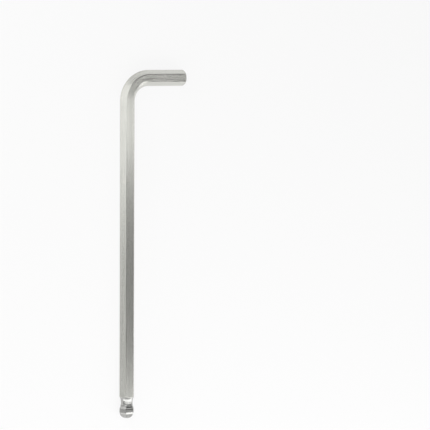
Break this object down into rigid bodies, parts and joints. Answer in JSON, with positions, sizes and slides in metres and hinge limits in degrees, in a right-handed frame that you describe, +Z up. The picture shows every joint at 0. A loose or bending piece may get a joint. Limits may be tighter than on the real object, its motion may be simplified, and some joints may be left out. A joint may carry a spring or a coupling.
{
  "type": "hex key",
  "caption": "L-shaped hexagon bar key with a ball end on its long arm, for turning socket-head screws.",
  "frame": {"origin": "on the surface that the key lies on, below the middle of its overall box", "axes": "+Y along the long arm from the ball end to the bend, +X along the short arm to its end, +Z up from the surface"},
  "size_m": [0.04, 0.198, 0.008],
  "materials": {
    "plated_steel": "satin plated steel, with fine drawn lines along the bar and a brighter turned ball end"
  },
  "bodies": {
    "root": {"hex_key": "plated_steel"}
  },
  "joints": []
}
